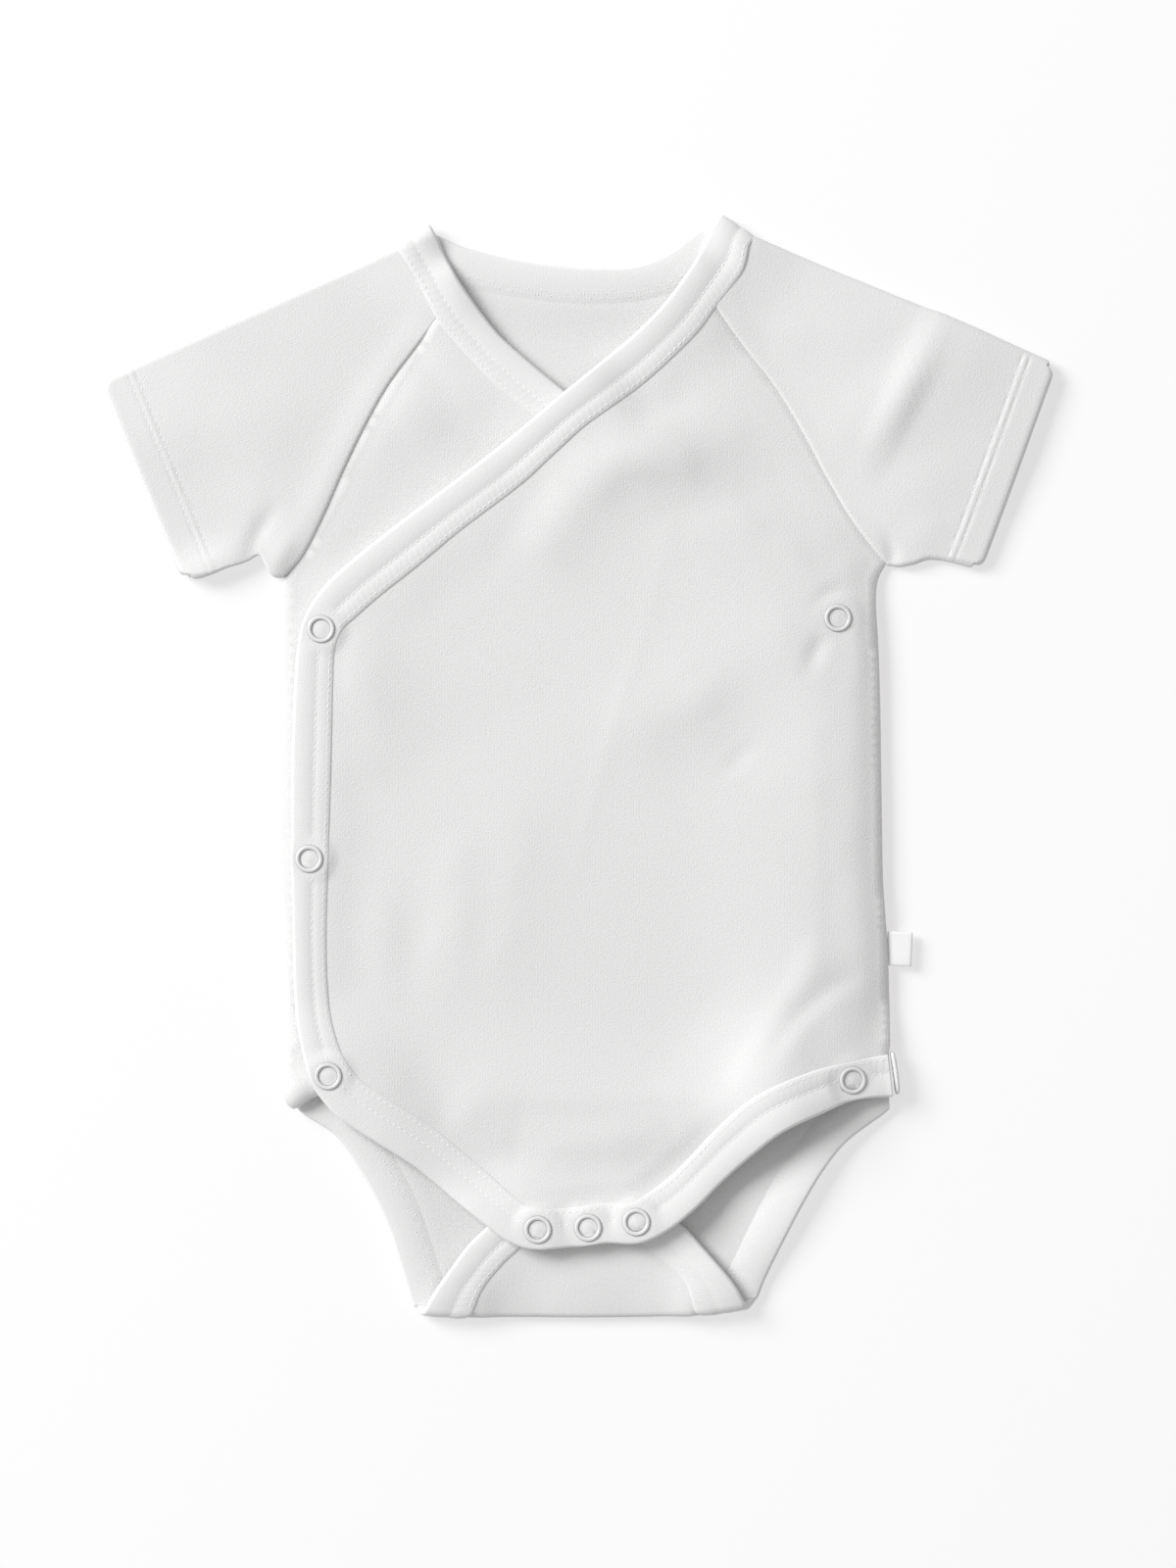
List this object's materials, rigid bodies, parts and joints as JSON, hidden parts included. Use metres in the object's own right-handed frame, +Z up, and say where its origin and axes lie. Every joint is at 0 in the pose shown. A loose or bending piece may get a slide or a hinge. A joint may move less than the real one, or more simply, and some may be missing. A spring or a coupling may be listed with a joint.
{
  "type": "baby wrap bodysuit",
  "caption": "Short-sleeved side-snap wrap bodysuit for a baby, laid flat on its back with its raglan sleeves spread and its crotch flap snapped to the front.",
  "frame": {"origin": "centre of the bounding box's underside, on the surface that the garment lies on", "axes": "+Z up, out of the garment's front; +Y towards the neck; +X towards the wearer's left sleeve"},
  "size_m": [0.332, 0.3844, 0.0124],
  "materials": {
    "knit": "matte white cotton interlock knit",
    "tape": "matte white cotton knit tape",
    "label": "white satin tape",
    "snap": "satin white enamel"
  },
  "bodies": {
    "root": {"back_panel": "knit", "inner_front": "knit", "outer_front": "knit", "right_sleeve": "knit", "left_sleeve": "knit", "neck_and_wrap_tape": "tape", "front_leg_tape": "tape", "right_leg_tape": "tape", "left_leg_tape": "tape", "seam_tab": "tape", "side_label": "label", "snap_side_top": "snap", "snap_side_middle": "snap", "snap_side_bottom": "snap", "snap_left_top": "snap", "snap_left_bottom": "snap", "snap_crotch_right": "snap", "snap_crotch_middle": "snap", "snap_crotch_left": "snap"}
  },
  "joints": []
}
